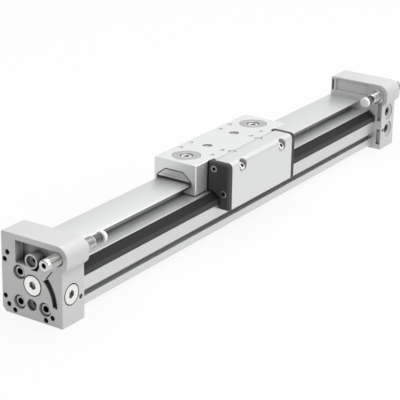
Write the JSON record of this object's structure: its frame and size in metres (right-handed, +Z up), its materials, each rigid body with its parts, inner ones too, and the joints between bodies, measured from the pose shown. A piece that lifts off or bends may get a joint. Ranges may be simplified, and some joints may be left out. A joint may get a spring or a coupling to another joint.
{
  "type": "rodless pneumatic cylinder",
  "caption": "Rodless pneumatic cylinder: a slide on a guide rail beside a slotted bore, with its driver, end caps, air ports and shock absorbers.",
  "frame": {"origin": "midway along the cylinder and across the end caps, on the caps' underside", "axes": "+X along the cylinder from the near cap to the far cap, +Z up out of the slide's top, -Y towards the driver and the air ports"},
  "size_m": [0.5746, 0.07, 0.068],
  "materials": {
    "anodised_aluminium": "extruded profile, etched and clear anodised to a soft satin",
    "end_cap_aluminium": "die-cast caps, shot-blasted and clear anodised",
    "slide_aluminium": "machined and clear anodised",
    "driver_aluminium": "machined and clear anodised",
    "plated_plug": "nickel-plated brass, turned",
    "screw_steel": "zinc-plated steel screws and pins",
    "absorber_steel": "bright plated steel, threaded",
    "rod_steel": "hardened and ground steel rod",
    "buffer_plastic": "white polyurethane buffer",
    "black_band": "black extruded polyurethane band",
    "black_cap_plastic": "black moulded glass-filled nylon",
    "guide_plastic": "moulded acetal sliding parts",
    "pad_carrier": "milled clamping strip",
    "disc_grey": "light grey moulded discs",
    "seal_rubber": "black nitrile rubber",
    "piston_plastic": "moulded acetal piston",
    "magnet": "sintered ring magnets"
  },
  "bodies": {
    "cylinder": {"barrel_profile": "anodised_aluminium", "near_end_cap": "end_cap_aluminium", "far_end_cap": "end_cap_aluminium", "near_cap_screws": "screw_steel", "far_cap_screws": "screw_steel", "near_cap_gasket": "seal_rubber", "far_cap_gasket": "seal_rubber", "near_front_plug": "plated_plug", "near_side_plug": "plated_plug", "far_end_plug": "plated_plug", "cover_band": "black_band", "sealing_band": "black_band", "near_band_clamp": "screw_steel", "far_band_clamp": "screw_steel", "near_absorber_body": "absorber_steel", "far_absorber_body": "absorber_steel", "near_absorber_nut": "absorber_steel", "far_absorber_nut": "absorber_steel"},
    "carriage": {"slide_block": "slide_aluminium", "front_pad_carrier": "pad_carrier", "rear_pad_carrier": "pad_carrier", "front_rail_wiper": "seal_rubber", "rear_rail_wiper": "seal_rubber", "front_guide_liner": "guide_plastic", "rear_guide_liner": "guide_plastic", "adjuster_discs": "disc_grey", "adjuster_screws": "screw_steel", "driver_cover": "driver_aluminium", "driver_body": "driver_aluminium", "driver_cover_screws": "screw_steel", "driver_cap_screws": "screw_steel", "driver_dowels": "screw_steel", "front_driver_cap": "black_cap_plastic", "rear_driver_cap": "black_cap_plastic", "front_band_guide": "guide_plastic", "rear_band_guide": "guide_plastic", "piston": "piston_plastic", "piston_seals": "seal_rubber", "piston_magnets": "magnet", "wear_rings": "guide_plastic", "piston_yoke": "driver_aluminium"},
    "near_plunger": {"near_absorber_rod": "rod_steel", "near_buffer": "buffer_plastic"},
    "far_plunger": {"far_absorber_rod": "rod_steel", "far_buffer": "buffer_plastic"}
  },
  "joints": [
    {"name": "carriage_slide", "type": "slide", "parent": "cylinder", "child": "carriage", "axis": [1, 0, 0], "range_m": [-0.1689, 0.1459], "deforming": ["cover_band", "sealing_band"]},
    {"name": "near_buffer_press", "type": "slide", "parent": "cylinder", "child": "near_plunger", "axis": [-1, 0, 0], "range_m": [0, 0.01], "stiffness_N_per_m": 300, "springref_m": -0.005},
    {"name": "far_buffer_press", "type": "slide", "parent": "cylinder", "child": "far_plunger", "axis": [1, 0, 0], "range_m": [0, 0.01], "stiffness_N_per_m": 300, "springref_m": -0.005}
  ]
}
